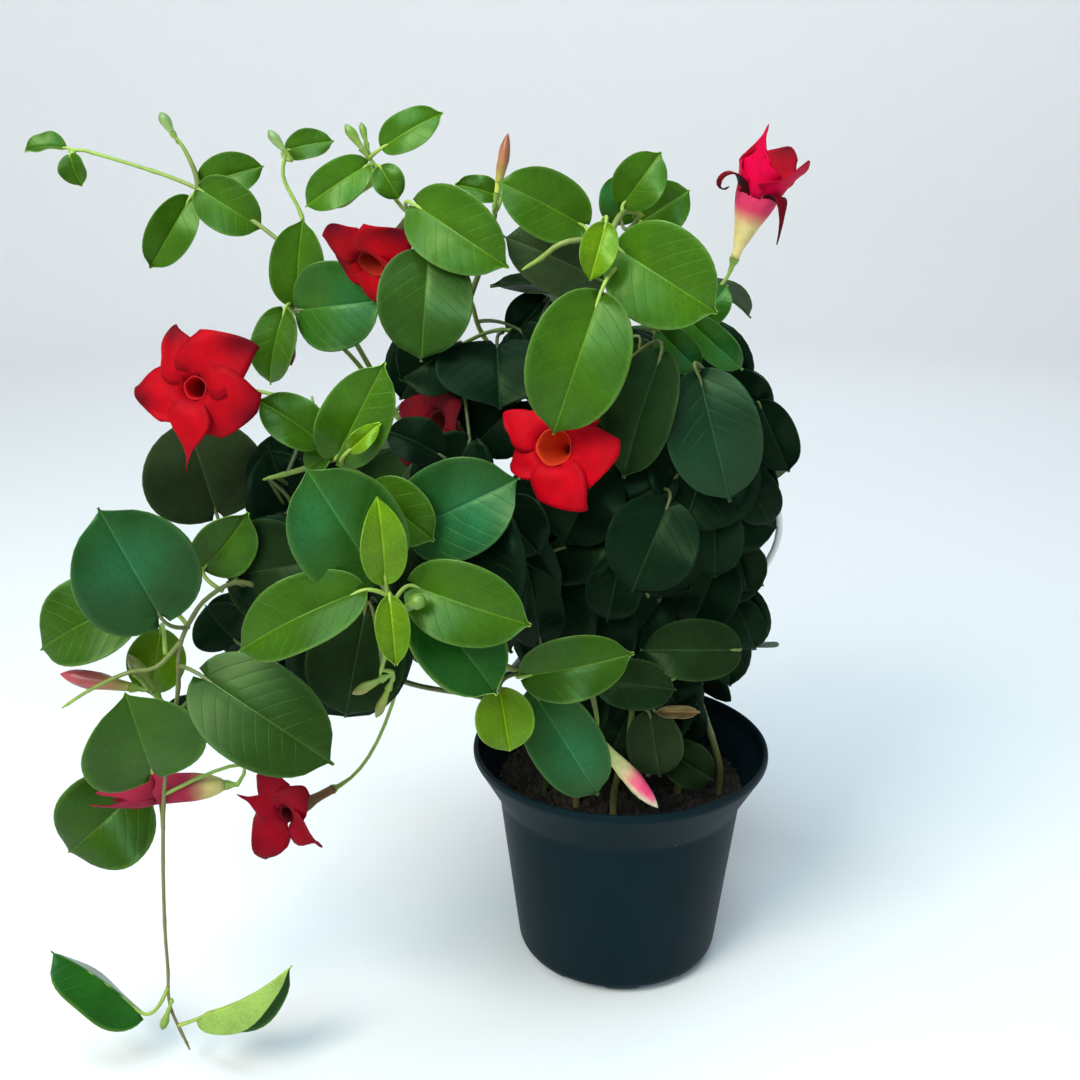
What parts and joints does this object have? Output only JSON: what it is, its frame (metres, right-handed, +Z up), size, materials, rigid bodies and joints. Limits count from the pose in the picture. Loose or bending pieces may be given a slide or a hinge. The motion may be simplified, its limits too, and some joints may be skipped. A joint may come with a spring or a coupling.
{
  "type": "potted mandevilla",
  "caption": "Potted mandevilla: twining stems with glossy leaves and red funnel flowers on a white hoop, in a dark round plastic nursery pot.",
  "frame": {"origin": "centre of the pot's underside, on the surface that it stands on", "axes": "+Z up along the pot's axis, +Y to the back of the plant, +X to the right of a viewer in front"},
  "size_m": [0.44, 0.284, 0.4774],
  "materials": {
    "leaf_young": "satin",
    "leaf_mature": "satin",
    "leaf_shaded": "satin",
    "petal_red": "satin",
    "petal_shaded": "satin",
    "petal_pink": "satin",
    "petal_faded": "matte",
    "bud_red": "satin",
    "bud_green": "satin",
    "bud_cream": "satin",
    "pot_plastic": "satin",
    "potting_soil": "matte",
    "hoop_plastic": "satin"
  },
  "bodies": {
    "root": {"bud_back_left": "bud_green", "bud_far_left": "bud_green", "bud_front_a": "bud_red", "bud_front_b": "bud_red", "bud_front_c": "bud_green", "bud_hanging_left": "bud_red", "bud_left_large": "bud_red", "bud_left_small": "bud_green", "bud_low": "bud_cream", "bud_stem_end": "bud_green", "bud_top_fat": "bud_green", "bud_top_middle": "bud_red", "bud_top_thin": "bud_green", "corolla_faded": "petal_faded", "corolla_far": "petal_red", "corolla_left": "petal_red", "corolla_low": "petal_shaded", "corolla_middle": "petal_red", "corolla_shade": "petal_shaded", "corolla_top_right": "petal_pink", "pot": "pot_plastic", "soil": "potting_soil", "trellis_hoop": "hoop_plastic", "vine_back_left": "leaf_shaded", "vine_back_middle": "leaf_shaded", "vine_back_right": "leaf_shaded", "vine_core": "leaf_shaded", "vine_front": "leaf_young", "vine_hanging": "leaf_mature", "vine_low_front": "leaf_mature", "vine_right": "leaf_shaded", "vine_top": "leaf_mature", "vine_top_centre": "leaf_mature", "vine_upper_left": "leaf_young"}
  },
  "joints": []
}
